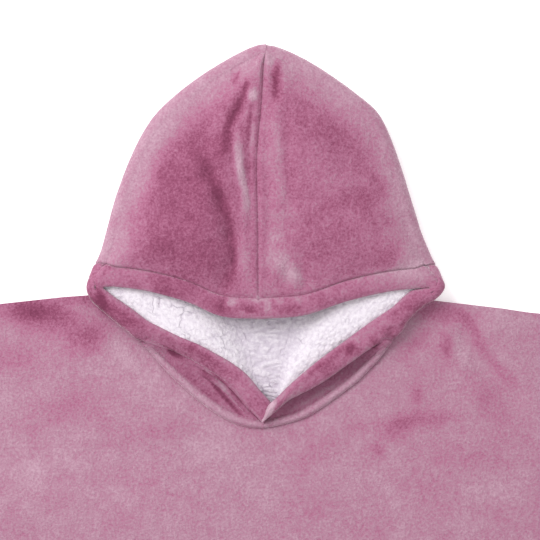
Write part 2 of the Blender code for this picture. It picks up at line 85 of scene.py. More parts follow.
# One row for each section of a hood half, from the throat round the corner to the peak:
# edge x y z, stitch x y z, middle z, fold x y, turn, under, back x y z.
leftHood = np.array([
    (4, -104, 18.6,    -7.5, -120, 15.5,  12, -6.0, -124.2,   0.3, 12.0, -4, -127.8, 8.5),
    (-22, -72, 22,     -35, -86, 20.5,    13, -42, -110,      0.3, 12.5, -45, -117, 8.5),
    (-59, -49, 24.4,   -67, -64, 23.5,    13, -73, -85,       0.3, 12.5, -76, -93, 8.5),
    (-84, -38, 25.2,   -91, -51, 24.5,    15, -97, -66,       0.3, 12.5, -99, -73, 8.5),
    (-108, -26, 25.6,  -116, -38, 25.2,   20, -115.5, -50,    1.0, 13.6, -112.5, -54, 11.5),
    (-120, -19, 25.6,  -127, -28, 25.6,   25, -133, -33,      5.6, 13.7, -126, -36, 12.5),
    (-133, -9, 26,     -139, -16, 26,     26, -146, -24,      6.2, 13.7, -126.5, -18, 13.7),
    (-149, 2, 26.2,    -156, -4, 26.2,    26, -163, -11,      6.2, 13.7, -126.5, -4, 13.7),
    (-158, 9, 26.5,    -166, 5, 26.5,     26, -174.5, 0,      6.3, 13.7, -126, 6, 13.7),
    (-162, 12, 27,     -170, 13, 26.5,    26, -179, 13,       6.6, 12.5, -116, 6.4, 9),
    (-158, 13.2, 27.5, -164, 26, 26.8,    25, -175.5, 29,     8.0, 8.0, -90, 2.6, 5),
    (-147, 13, 28,     -152, 32, 28,      27, -167, 46,       9.5, 3.0, -60, -4.0, 2.6),
    (-118, 9, 29.5,    -120, 29, 30.5,    33, -159.6, 70,     11, 2.5, -28, -8.0, 2.5),
    (-79, -1.5, 31,    -78, 17, 32,       38, -149, 107,      12, 2.5, -0.4, 6, 2.5),
    (-44, -16, 32,     -43, 3, 33,        41, -133, 148,      12, 2.5, -0.4, 46, 2.5),
    (-4.9, -18.6, 33,  -8, 1.2, 34,       43, -113, 183,      12, 2.5, -0.4, 88, 2.5),
    (0, 0, 0,          -8.4, 72, 39,      44, -88, 207.5,     12, 2.5, -0.4, 132, 2.5),
    (0, 0, 0,          -9.2, 140, 39,     41, -62, 227,       11.5, 2.5, -0.4, 178, 2.5),
    (0, 0, 0,          -4.6, 196, 35,     36, -34, 244,       11, 2.5, -0.4, 216, 2.5),
    (0, 0, 0,          -2.9, 232, 29,     29, -12, 254.6,     10.5, 2.5, -0.4, 241, 2.5),
    (0, 0, 0,          -0.4, 247, 24.2,   24, -0.4, 257,      10, 2.5, -0.4, 247, 2.5),
])
rightHood = np.array([
    (9, -102, 27.2,    -0.5, -120, 18,    15.5, -1, -124.4,     0.3, 12.0, -2.6, -127.8, 8.5),
    (28, -81, 27,      20, -102, 22,      13, 30, -114,       0.3, 12.5, 36, -120.5, 8.5),
    (51, -61, 26,      57, -80, 23,       13, 62, -97,        0.3, 12.5, 66, -102, 8.5),
    (78, -41, 26,      86, -58, 24.5,     14, 89, -78,        0.3, 12.5, 92, -83.5, 8.5),
    (101, -24, 26,     109, -38, 25.5,    20, 113, -54,       1.0, 13.6, 112.5, -59.5, 11.5),
    (114, -15, 26,     121, -26, 26,      25, 131, -34,       5.6, 13.7, 124, -38, 12.5),
    (127, -6, 26,      133, -14, 26,      26, 141, -21,       6.2, 13.7, 128, -24, 13.7),
    (143, 8.4, 26.2,   150, 0, 26.2,      26, 158, -7,        6.2, 13.7, 128, -8, 13.7),
    (155, 11.6, 26.5,  162, 6, 26.5,      26, 171, 2.5,       6.3, 13.7, 126.5, 3, 13.7),
    (162, 12.3, 27,    170, 13, 26.5,     26, 179, 14,        6.6, 12.5, 117, 4.4, 9),
    (157, 12.0, 27.5,  162.5, 26, 26.8,   25, 174.8, 29,      8.0, 8.0, 90, 1.4, 5),
    (145, 11.2, 28,    149, 31, 28,       27, 166.6, 44,      9.5, 3.0, 60, -4.2, 2.6),
    (119, 8, 29.5,     120, 28, 30.5,     33, 156, 69,        11, 2.5, 28, -8.0, 2.5),
    (79, -1.5, 31,     78, 17, 32,        38, 144.5, 105,     12, 2.5, 0.4, 6, 2.5),
    (38, -15, 32,      37, 5, 33,         41, 131, 147,       12, 2.5, 0.4, 46, 2.5),
    (-4.1, -18.6, 33,  -7.2, 1.2, 34,     43, 114, 186,       12, 2.5, 0.4, 88, 2.5),
    (0, 0, 0,          -7.6, 72, 39,      44, 90, 208,        12, 2.5, 0.4, 132, 2.5),
    (0, 0, 0,          -8.4, 140, 39,     41, 62, 228.5,      11.5, 2.5, 0.4, 178, 2.5),
    (0, 0, 0,          -3.8, 196, 35,     36, 35, 244.5,      11, 2.5, 0.4, 216, 2.5),
    (0, 0, 0,          -2.1, 232, 29,     29, 13, 254,        10.5, 2.5, 0.4, 241, 2.5),
    (0, 0, 0,          0.4, 247, 24.2,    24, 0.4, 257,       10, 2.5, 0.4, 247, 2.5),
])

# How each half folds at the V: the left hem tilts, the right end laps over the left. Shade is painted shade
# in the valley, endLight a painted highlight on the hem's end.
leftFolds = {
    "neckSide": -1, "trim": 2.3, "tilt": 1.0, "valleyFloor": 10.2, "rollTop": 12.8, "steep": 4.5,
    "crease": 2.2, "shade": 0.2,
    "lap": 6.0, "lapRows": 0.5, "hemLap": (5.0, -3.0, -0.6), "endLight": 0.0, "meet": 2.6,
}
rightFolds = {
    "neckSide": 1, "trim": 3.2, "tilt": 0.0, "valleyFloor": 8.0, "rollTop": 12.4, "steep": 3.0,
    "crease": 0.0, "shade": 0.32,
    "lap": -1.5, "lapRows": 0.5, "hemLap": (-4.2, -2.6, 0.6), "endLight": 2.4, "meet": -1.2,
}

# Soft folds: from x y to x y, half width, and height, negative for a trough.
hoodFolds = [
    (-19, 213, -23, 200, 5, -1.6), (-23, 200, -30, 185, 6, -2.2), (-30, 185, -38, 162, 7, -2.6),
    (-13, 207, -13, 199, 4, 1.3), (-28, 152, -26, 128, 4.5, 1.9), (-26, 128, -21, 98, 4, 1.8),
    (-21, 98, -20, 86, 4, 1.0), (-63, 152, -56, 125, 9, -2.6), (-56, 125, -44, 98, 9, -3.6),
    (-44, 98, -35, 65, 9, -3.8), (-35, 65, -31, 38, 9, -3.4), (-31, 38, -42, 14, 9, -2.4),
    (-24, 80, -22, 36, 7, 1.6), (-64, 96, -58, 40, 16, 2.0), (-96, 176, -72, 160, 12, -1.6),
    (10, 243, 8, 220, 4.5, -2.4), (8, 220, 11, 201, 4.5, -2.6), (16, 240, 20, 214, 7, 1.2),
    (8, 186, 13, 96, 6, 1.4), (20, 190, 24, 96, 7, -1.3), (60, 190, 84, 80, 34, 2.6),
    (-112, 120, -100, 60, 26, 2.4), (12, 46, 14, 36, 9, 2.2), (27, 32, 29, 18, 7, 2.0),
    (20, 34, 22, 18, 4, -1.6), (36, 44, 38, 16, 6, -1.6), (12, 86, 30, 82, 4, 0.9),
    (-118, 52, -104, 44, 12, -1.6), (-70, 60, -60, 30, 14, 1.4), (4, 120, 4, 60, 4, -0.8),
]
frontFolds = [
    (196, -14, 202, -40, 10, -2.2), (202, -40, 222, -66, 12, -2.4), (222, -66, 250, -96, 14, -1.6),
    (228, -30, 300, -140, 22, 3.0), (182, -40, 214, -92, 14, 1.6), (-178, -60, -110, -120, 26, 1.8),
    (-250, -200, -90, -230, 40, 2.2), (60, -170, 210, -240, 40, 2.0), (-330, -420, -300, -760, 45, 4.6),
    (-90, -400, -120, -700, 50, 4.0), (150, -380, 110, -640, 45, 4.4), (340, -450, 330, -780, 45, 4.6),
    (-420, -110, -360, -330, 30, 3.4), (420, -110, 360, -330, 30, 3.4), (-440, -260, -250, -420, 26, 3.4),
    (440, -280, 260, -440, 26, 3.4), (-20, -760, 60, -840, 40, 3.0),
]

sleeveFolds = [
    (488, -90, 600, -250, 22, 4.2), (500, -60, 700, -170, 24, 3.6), (640, -120, 760, -260, 20, 3.2),
    (720, -90, 860, -180, 20, 2.8), (560, -240, 660, -290, 18, 2.6), (800, -200, 880, -280, 16, 2.4),
]

# Outer edge that front and back share: x, y, share of the front neckline, share of the back one.
bodyEdge = np.array([
    (-470, -30, 0.000, 0.00), (-470, -180, 0.035, 0.06), (-470, -330, 0.090, 0.12),
    (-474, -510, 0.180, 0.20), (-479, -690, 0.270, 0.27), (-484, -856, 0.345, 0.33),
    (-330, -861, 0.400, 0.38), (-160, -864, 0.455, 0.44), (0, -865, 0.500, 0.50),
    (160, -864, 0.545, 0.56), (330, -861, 0.600, 0.62), (484, -856, 0.655, 0.67),
    (479, -690, 0.730, 0.73), (474, -510, 0.820, 0.80), (470, -330, 0.910, 0.88),
    (470, -180, 0.965, 0.94), (470, -32, 1.000, 1.00),
])
leftShoulder = [(-128, 8), (-206, 2.6), (-266, -4), (-470, -30)]
rightShoulder = [(128, 4), (206, -5), (240, -9), (266, -13), (470, -32)]
backNeck = [
    (-128, 8), (-90, -0.2), (-60, -6.4), (-28, -9.6), (0, -10),
    (28, -9.6), (60, -6.6), (90, -1.4), (128, 4),
]

# Distance out from the armhole, and the top and lower edges there.
sleeveStations = np.array([
    (0, 0, -300), (60, -8, -286), (150, -22, -272), (260, -41, -262),
    (360, -59, -258), (415, -69, -256), (432, -72, -255.5),
], float)
sleeves = {
    "start": 470.5, "length": 432, "skew": 0.16, "fold": 3.0,
    "around": 60, "along": 90, "hemFrom": 24.0,
}

# Sherpa inside each side of the mouth: outer x y z, inner x y z, swell.
leftLining = np.array([
    (-7, -91, 13.3, -3, -91, 13.3, 0.1), (-30, -78, 13.4, -10, -80, 13.5, 0.9),
    (-62, -61, 13.8, -15, -62, 13.6, 2.6), (-88, -47, 14.4, -18, -46, 13.6, 4.6),
    (-111, -33, 18.4, -24, -31, 13.8, 5.6), (-142, -3, 19.3, -33, -14, 13.8, 4.8),
    (-164, 11, 19.3, -40, 8, 13.8, 3.6), (-150, 36, 19.0, -46, 34, 13.8, 2.6),
    (-132, 62, 15.4, -50, 60, 13.6, 2.0),
])
rightLining = np.array([
    (20, -97, 13.4, 10, -95, 13.4, 0.3), (40, -79, 13.6, 13, -80, 13.6, 2.2),
    (64, -60, 14.2, 16, -62, 13.8, 4.4), (86, -44, 14.6, 20, -46, 13.8, 5.4),
    (106, -30, 18.2, 24, -31, 13.8, 5.8), (130, -6, 20.4, 28, -14, 14.4, 4.8),
    (152, 9, 20.6, 34, 8, 14.8, 4.4), (150, 36, 20.0, 40, 34, 14.8, 4.0),
    (132, 62, 15.4, 44, 60, 13.6, 2.0),
])
napeLining = np.array([
    (-112, -3, 9), (-95, -14, 20), (-70, -34, 34), (-35, -46, 44), (10, -62, 56), (62, -68, 62),
], float)
sherpa = {
    "rows": 150, "columns": 96, "napeRows": 150, "napeColumns": 100,
    "clump": 3.8,  # width of a tuft
    "lift": 0.8,
    "valley": 0.5,  # how much painted shade darkens the inner edges, where they dip
    "inward": 5.6,  # how far they dip
}

plush = {
    # from pile that lies away from the light, and painted shade, to pile brushed towards it, and painted
    # highlights
    "tones": [
        (0.0, (0.160, 0.034, 0.076)), (0.2, (0.248, 0.066, 0.130)), (0.4, (0.358, 0.130, 0.220)),
        (0.58, (0.378, 0.196, 0.272)), (0.76, (0.446, 0.270, 0.346)), (1.0, (0.560, 0.365, 0.450)),
    ],
    # colour of painted shade in creases, valleys and along stitch lines
    "shadedCreases": (0.085, 0.024, 0.046),
    "grain": 3.3,
    "brush": 1.35,  # strength of the marks below
    "sheen": 0.6,
    "sheenRoughness": 0.32,
    "sheenTint": (1.0, 0.86, 0.92),
}
fleece = {
    "crest": (0.79, 0.735, 0.79),
    # colour of painted shade in the hollows between tufts
    "hollow": (0.585, 0.52, 0.60),
    # colour of painted shade in partings of the pile
    "partingShade": (0.30, 0.25, 0.32),
    "sheen": 0.25,
}

# Where the pile is brushed to the light (above 0) or away from it, and where highlights (above 0) and shade
# are painted
# on folds, creases, rims and recesses: x, y, long and short half width, angle in degrees, strength.
napAndShadingMarks = [
    # hood: broad patches of pile, painted highlights along fold ridges, painted shade in fold troughs and
    # creases
    (-74, 100, 80, 46, 80, -0.75), (-66, 40, 46, 30, 10, -0.25), (64, 110, 110, 46, 100, -0.25),
    (-110, 47, 24, 12, 30, -0.4), (-28, 190, 22, 6, 62, -1.2), (-17, 176, 18, 2.4, 84, -0.8),
    (-14, 160, 12, 2.6, 84, 0.8), (-38, 160, 18, 6, 80, -0.8), (-20, 212, 8, 3.5, 70, -0.9),
    (-29, 220, 9, 3, 60, -0.8), (-13, 203, 6, 4, 80, 1.5), (-27, 142, 18, 3.6, 95, 1.5),
    (-22, 112, 20, 3.2, 102, 1.5), (-21, 92, 8, 3.5, 90, 0.7), (-56, 126, 30, 8, -58, -0.5),
    (-42, 92, 28, 7, -66, -0.8), (-33, 52, 24, 7, -80, -0.8), (-38, 20, 12, 7, 60, -0.7),
    (-22, 40, 16, 6, 88, 0.6), (-24, 64, 18, 6, 88, 0.3), (10, 220, 20, 4.5, 88, -1.5),
    (5, 236, 8, 5, 80, 0.4), (6, 150, 44, 8, 91, 0.35), (13, 140, 46, 4, 93, 0.5), (14, 84, 18, 5, 6, 0.4),
    (11, 42, 13, 9, 12, 0.8), (19, 31, 12, 8, -38, 0.8), (30, 22, 11, 7, -50, 0.7),
    (14, 64, 12, 2.4, 20, 0.6), (22, 56, 10, 2.2, -30, 0.5), (39, 30, 16, 5, 80, -0.5),
    (8, 62, 16, 7, 80, 0.5), (60, 170, 50, 34, -50, -0.15), (95, 100, 22, 10, 15, -0.4),
    (112, 116, 14, 8, -40, -0.4), (100, 60, 30, 10, 10, 0.3), (70, 110, 40, 16, -60, 0.25),
    (60, 50, 40, 16, 10, -0.1), (120, 40, 16, 8, 70, -0.3), (-120, 130, 30, 14, 60, 0.3),
    (-104, 170, 24, 12, 50, 0.3),
    # hem: lighter and darker spots across its middle, painted highlights at the upper hem's ends, painted
    # shade in the left corner's pocket
    (-34, -2, 6, 4, 20, 1.2), (-16, -9, 7, 4, -10, -0.9), (2, -5, 3.5, 8, 0, 1.0), (-8, 0, 8, 2.5, 0, 0.8),
    (25, -8, 9, 4, 10, -0.6), (-45, -6, 7, 5, -30, -0.8), (34, 0, 8, 4, 10, 0.6), (14, -1, 5, 3, 0, 0.7),
    (-24, -12, 5, 3, 0, 0.5), (110, 22, 40, 10, 12, 0.7), (150, 26, 24, 12, 10, 1.0),
    (-150, 24, 26, 10, 0, 0.3), (-163, 3, 11, 3.4, -62, -1.2), (-166, -4, 10, 5, -62, -0.6),
    (-60, -54, 30, 4, -38, -0.4), (-22, -94, 20, 6, -50, 0.3), (60, -60, 30, 4, 36, -0.4),
    (28, -92, 22, 4, 42, 0.5), (100, -32, 30, 4, 32, 0.4),
    # the front of the neck: painted shadow in the recesses beside the V, painted highlights and shade along
    # its creases
    (-94, -52, 11, 4, -35, -1.6), (-41, -90, 34, 1.6, -49, 1.0), (-44, -95, 30, 2.2, -49, -1.5),
    (-36, -90, 26, 2.0, -49, -1.2), (-100, -50, 8, 1.6, -50, 0.9), (-70, -86, 26, 5, -42, -0.4),
    (84, -48, 7, 4, 70, -1.0), (108, -44, 6, 4, 60, -0.9), (52, -96, 24, 3, 30, 0.6),
    # body: patches of pile, and darker marks beside the hood on both shoulders
    (-215, -22, 48, 16, -8, -1.0), (-256, -60, 26, 18, 0, -0.5), (-176, -42, 22, 13, 25, -0.9),
    (-236, -8, 34, 12, -5, -1.2), (-190, 2, 24, 8, -2, -0.9), (-150, -14, 24, 8, -25, -0.7),
    (-150, -48, 24, 10, -50, 0.4), (-120, -78, 26, 10, -42, 0.3), (-200, -110, 34, 16, 10, -0.4),
    (-110, -130, 40, 12, 10, -0.3), (-60, -150, 40, 14, 0, 0.2), (-230, -170, 40, 20, 40, 0.2),
    (0, -185, 80, 30, 4, 0.15), (130, -130, 20, 12, 30, -0.9), (112, -150, 10, 7, -30, -0.7),
    (152, -96, 12, 6, 80, -0.8), (165, -120, 34, 7, 5, -0.6), (96, -126, 20, 10, 20, -0.4),
    (182, -46, 16, 8, -80, -0.9), (178, -14, 40, 10, -8, -0.9), (210, -36, 28, 7, -60, -0.9),
    (236, -72, 22, 6, -48, -0.6), (150, -44, 26, 8, 42, -0.5), (196, -56, 22, 7, -58, 0.4),
    (222, -100, 30, 14, -60, -0.4), (200, -160, 40, 14, -10, -0.2), (60, -150, 30, 12, 20, -0.4),
    (40, -200, 40, 20, 60, -0.2), (240, -20, 40, 12, -10, 0.3), (236, -190, 30, 16, 10, 0.2),
]


def smooth(low, high, value):
    t = np.clip((value - low) / (high - low), 0.0, 1.0)
    return t * t * (3 - 2 * t)


def through(rows, at):
    # a smooth curve through equally spaced rows, read at one place
    last = len(rows) - 1
    i = int(min(max(math.floor(at), 0), last - 1))
    t = at - i
    a, b = rows[i], rows[i + 1]
    before = rows[i - 1] if i > 0 else 2 * a - b
    after = rows[i + 2] if i + 2 <= last else 2 * b - a
    return 0.5 * (
        2 * a + (b - before) * t + (2 * before - 5 * a + 4 * b - after) * t * t
        + (3 * a - before - 3 * b + after) * t * t * t
    )


def polyline(points, shares):
    points = np.asarray(points, float)
    steps = np.linalg.norm(np.diff(points, axis=0), axis=1)
    length = np.concatenate([[0.0], np.cumsum(steps)])
    at = np.asarray(shares, float) * length[-1]
    return np.stack([np.interp(at, length, points[:, k]) for k in range(points.shape[1])], axis=-1)


def foldHeight(folds, x, y):
    total = np.zeros(np.shape(x))
    for startX, startY, endX, endY, width, height in folds:
        runX, runY = endX - startX, endY - startY
        length = math.hypot(runX, runY)
        t = ((x - startX) * runX + (y - startY) * runY) / length**2
        off = np.abs((x - startX) * runY - (y - startY) * runX) / length
        beyond = np.maximum(0.0, np.maximum(-t, t - 1.0)) * length
        total += height * np.exp(-((beyond / width) ** 2) - (off / width) ** 2)
    return total


def napAndShadingAt(x, y):
    total = np.zeros(np.shape(x))
    for markX, markY, long, short, angle, strength in napAndShadingMarks:
        c, s = math.cos(math.radians(angle)), math.sin(math.radians(angle))
        u = ((x - markX) * c + (y - markY) * s) / long
        v = (-(x - markX) * s + (y - markY) * c) / short
        total += plush["brush"] * strength * np.exp(-((u * u + v * v) ** 1.3))
    return total


def wander(points, size, seed):
    # slow noise between -1 and 1 over a grid of points
    flat = points.reshape(-1, 3)
    made = [noise.noise(Vector((p[0] / size + seed, p[1] / size, p[2] / size))) for p in flat]
    return np.array(made).reshape(points.shape[:2])


def overShoulder(x, y):
    away = math.hypot(max(0.0, 126 - abs(x)), max(0.0, y - 9))
    return body["floorLayer"] + (body["onBody"] - body["floorLayer"]) * float(1 - smooth(3, 28, away))


def hoodLine(table, at, folds):
    # one section as a dense line: hem, upper layer, fold, lower layer.
    # the tilt stands the hem of the V on its outer edge
    z = through(table, at)
    tilt, ease = folds["tilt"], hood["hemWidth"] + hood["hemEase"]
    forehead, jaw, corner = hood["forehead"], hood["jaw"], hood["corner"]
    half = forehead if at >= forehead else 0
    part = table[forehead:] if half else table[: forehead + 1]
    split = through(part, at - half)
    whole = np.arange(len(table))
    edge, stitch, fold = split[0:3], split[3:6], z[7:9]
    turn = max(float(np.interp(at, whole, table[:, 9])), 0.2)
    back = np.array([np.interp(at, whole, table[:, 11]), np.interp(at, whole, table[:, 12])])
    if at < jaw - 1:
        back = neckAt(at * folds["neckSide"])
    backZ = float(np.interp(at, whole, table[:, 13]))
    full = float(np.interp(at, (jaw - 1, jaw, corner + 1, corner + 2), (1 - tilt, 0, 0, 1)))
    standing = tilt * float(1 - smooth(jaw - 2.6, jaw + 0.2, at))
    if at <= forehead:
        reach = np.linalg.norm(stitch - edge)
        wide = reach * (1 - full) + ease * full
        stitch = edge + (stitch - edge) * wide / reach
        drop = math.sqrt(max(0.0, ease**2 - reach**2))
        stitch[2] -= standing * max(0.0, drop - edge[2] + stitch[2])
    low = z[10] if at < jaw else max(z[10], overShoulder(*fold))
    inward = fold - stitch[:2]
    inward = inward / np.linalg.norm(inward)
    fold = fold - inward * folds["trim"] * float(smooth(5.2, 7, at))
    homeward = fold - back
    homeward = homeward / np.linalg.norm(homeward)
    if at >= len(table) - 1.02:
        inward = homeward = np.array([0.0, 1.0])
    rim = np.append(fold - inward * turn, low + 2 * turn)
    middle = 0.5 * (stitch + rim)
    middle[2] = z[6] - standing * max(0.0, z[6] - stitch[2] + 0.6)
    stops = np.array([stitch, middle, rim])
    line = [through(stops, t) for t in np.linspace(0, 2, 30)]
    if at <= forehead:
        line = [edge + (stitch - edge) * t for t in np.linspace(0, 1, 10, endpoint=False)] + line
    for angle in np.linspace(0, math.pi, 17)[1:]:
        lean = inward * (1 - angle / math.pi) + homeward * angle / math.pi
        lean = lean / np.linalg.norm(lean)
        place = fold - lean * turn * (1 - math.sin(angle))
        line.append(np.append(place, low + turn * (1 + math.cos(angle))))
    start = line[-1]
    for t in np.linspace(0, 1, 16)[1:]:
        place = start[:2] * (1 - t) + back * t
        height = low + (backZ - low) * float(smooth(0, 1, t))
        if at >= jaw:
            height = max(height, overShoulder(*place))
        line.append(np.append(place, height))
    return np.array(line)


def measure(line):
    steps = np.linalg.norm(np.diff(line, axis=0), axis=1)
    return np.concatenate([[0.0], np.cumsum(steps)])


def readLine(line, length, at):
    return np.stack([np.interp(at, length, line[:, k]) for k in range(3)], axis=-1)


def hemReach(length, at):
    # how far the hem reaches along a section: at the mouth's corners it wraps round the fold
    wraps = float(smooth(4.3, 5.2, at) * (1 - smooth(9.6, 11.2, at)))
    width = hood["hemWidth"]
    return width + hood["hemTuck"] + wraps * max(0.0, length[-16] + 3 - width)


def panelColumns(line, length, at):
    count, corner = hood["columns"], hood["corner"]
    start = hemReach(length, at) - 2.0 if at <= hood["forehead"] else 0.0
    whole = length[-1]
    even = start + (whole - start) * np.linspace(0, 1, count + 1)
    top, turned = length[-32], length[-16]
    upper = np.interp(at, (corner + 2, corner + 5), (0.0833, 0.5)) * count
    around = np.interp(at, (corner + 2, corner + 5), (0.2056, 0.25)) * count
    marks = (0, upper, upper + around, count)
    stops = (start, max(top, start + 1), max(turned, start + 2), whole)
    shaped = np.interp(np.arange(count + 1), marks, stops)
    share = float(smooth(corner + 1.5, corner + 2.5, at))
    return even * (1 - share) + shaped * share


def sheetNormals(points, side):
    across, along = np.gradient(points, axis=0), np.gradient(points, axis=1)
    normals = np.cross(across, along) * side
    size = np.linalg.norm(normals, axis=2, keepdims=True)
    return normals / np.maximum(size, 1e-9)


def upright(normals, share):
    # turns normals into the seam's own plane, by a share, so two halves meet without crossing
    kept = normals * np.array([0.0, 1.0, 1.0])
    kept = kept / np.maximum(np.linalg.norm(kept, axis=-1, keepdims=True), 1e-9)
    mixed = normals * (1 - share[..., None]) + kept * share[..., None]
    return mixed / np.maximum(np.linalg.norm(mixed, axis=-1, keepdims=True), 1e-9)


def clothShell(name, upper, lower, finishes, marks=None, tube=False, rimFinish=0):
    # a grid with thickness: its two sides are moved to the two surfaces given
    rows, columns = upper.shape[:2]
    shell = bmesh.new()
    bmesh.ops.create_grid(shell, x_segments=columns - 1, y_segments=rows - 1, size=0.5)
    thick = bmesh.ops.extrude_face_region(shell, geom=shell.faces[:], use_keep_orig=True)["geom"]
    copied = [v for v in thick if isinstance(v, bmesh.types.BMVert)]
    bmesh.ops.translate(shell, verts=copied, vec=(0, 0, -1))
    for face in thick:
        if isinstance(face, bmesh.types.BMFace):
            face.material_index = 1
    grid = np.array([v.co for v in shell.verts])
    i = np.rint((grid[:, 1] + 0.5) * (rows - 1)).astype(int)
    j = np.rint((grid[:, 0] + 0.5) * (columns - 1)).astype(int)
    under = grid[:, 2] < -0.5
    points = (np.where(under[:, None], lower[i, j], upper[i, j]) + centre) * mm
    for vert, point in zip(shell.verts, points):
        vert.co = point
    for mark, values in (marks or {}).items():
        layer = shell.verts.layers.float.new(mark)
        for vert, value in zip(shell.verts, values[i, j]):
            vert[layer] = value
    shell.verts.index_update()
    rim = {f for f in shell.faces if len({bool(under[v.index]) for v in f.verts}) == 2}
    if tube:
        seam = np.isin(j, (0, columns - 1))
        walls = [f for f in shell.faces if all(seam[v.index] for v in f.verts)]
        meet = [v for v in shell.verts if seam[v.index]]
        rim -= set(walls)
        bmesh.ops.delete(shell, geom=walls, context="FACES_ONLY")
        bmesh.ops.remove_doubles(shell, verts=meet, dist=1e-5)
    for face in shell.faces:
        face.smooth = True
    for face in rim:
        face.material_index = rimFinish
    for edge in shell.edges:
        # the rim between the two sides stays crisp
        if len(edge.link_faces) == 2 and sum(f in rim for f in edge.link_faces) == 1:
            edge.smooth = False
    bmesh.ops.recalc_face_normals(shell, faces=shell.faces[:])
    mesh = bpy.data.meshes.new(name)
    shell.to_mesh(mesh)
    shell.free()
    piece = bpy.data.objects.new(name, mesh)
    for finish in finishes:
        mesh.materials.append(finish)
    bpy.context.scene.collection.objects.link(piece)
    return piece


class Wire:
    # one output of a node; sums on it add Math nodes
    def __init__(self, finish, socket):
        self.finish, self.socket = finish, socket

    def worked(self, operation, *values):
        return self.finish.node("ShaderNodeMath", {"operation": operation}, dict(enumerate(values)))

    def __add__(self, other):
        return self.worked("ADD", self, other)

    __radd__ = __add__

    def __sub__(self, other):
        return self.worked("SUBTRACT", self, other)

    def __rsub__(self, other):
        return self.worked("SUBTRACT", other, self)

    def __mul__(self, other):
        return self.worked("MULTIPLY", self, other)

    __rmul__ = __mul__

    def __truediv__(self, other):
        return self.worked("DIVIDE", self, other)

    def within(self, low, high):
        # 0 at low and under, 1 at high and over
        settings = {"interpolation_type": "SMOOTHSTEP"}
        return self.finish.node("ShaderNodeMapRange", settings, {0: self, 1: low, 2: high})


class Finish:
    def __init__(self, name):
        self.material = bpy.data.materials.new(name)
        self.material.use_nodes = True
        self.tree = self.material.node_tree
        self.tree.nodes.clear()
        self.place = self.node("ShaderNodeTexCoord", {}, {}, "Object")

    def node(self, kind, settings, sockets, out=0):
        made = self.tree.nodes.new(kind)
        for key, value in settings.items():
            if key == "stops":
                ramp = made.color_ramp.elements
                while len(ramp) < len(value):
                    ramp.new(0.5)
                for stop, (at, colour) in zip(ramp, value):
                    stop.position, stop.color = at, (*colour, 1)
            else:
                setattr(made, key, value)
        for key, value in sockets.items():
            if isinstance(value, Wire):
                self.tree.links.new(value.socket, made.inputs[key])
            elif isinstance(value, tuple) and len(value) == 3 and made.inputs[key].type == "RGBA":
                made.inputs[key].default_value = (*value, 1)
            else:
                made.inputs[key].default_value = value
        return Wire(self, made.outputs[out])

    def grain(self, size, detail=2.0, rough=0.5, stretch=None, warp=0.0):
        place = self.place
        if stretch:
            place = self.node("ShaderNodeMapping", {}, {0: place, 3: stretch})
        return self.node("ShaderNodeTexNoise", {}, {
            "Vector": place, "Scale": 1 / size, "Detail": detail, "Roughness": rough, "Distortion": warp,
        })

    def grainColour(self, size):
        sockets = {"Vector": self.place, "Scale": 1 / size, "Detail": 2.0}
        return self.node("ShaderNodeTexNoise", {}, sockets, 1)

    def mark(self, name):
        return self.node("ShaderNodeAttribute", {"attribute_name": name}, {}, "Fac")

    def mixed(self, factor, first, second):
        return self.node("ShaderNodeMix", {"data_type": "RGBA"}, {0: factor, 6: first, 7: second}, 2)

    def done(self, sockets):
        surface = self.node("ShaderNodeBsdfPrincipled", {}, sockets)
        result = self.tree.nodes.new("ShaderNodeOutputMaterial")
        self.tree.links.new(surface.socket, result.inputs[0])
        return self.material


def plushFinish(name):
    made = Finish(name)
    nap = made.mark("nap")
    hollow = made.mark("hollow")
    clouds = made.grain(0.060, 1.0, 0.5, warp=0.5) - 0.5
    patches = made.grain(0.022, 2.5, 0.5, warp=0.8) - 0.5
    brushed = made.grain(0.0050, 2.0, 0.6, (1.0, 0.6, 1.0)) - 0.5
    fibres = made.grain(0.0025, 2.0, 0.75) - 0.5
    # painted highlights and shade come in with the pile's own tone
    tone = nap + clouds * 0.9 + patches * 1.3 + brushed + fibres * plush["grain"]
    colour = made.node("ShaderNodeValToRGB", {"stops": plush["tones"]}, {0: (tone + 2.0) / 5.0})
    # painted shade mixed into valleys, creases and stitch lines
    shade = made.mixed(hollow, colour, plush["shadedCreases"])
    relief = made.node("ShaderNodeBump", {}, {
        "Strength": 0.6, "Distance": 0.0016, "Height": fibres * 1.2 + brushed * 0.8 + patches * 0.5,
    })
    return made.done({
        "Base Color": shade, "Roughness": 0.92, "Normal": relief, "Specular IOR Level": 0.15,
        "Sheen Weight": plush["sheen"], "Sheen Roughness": plush["sheenRoughness"],
        "Sheen Tint": plush["sheenTint"],
    })


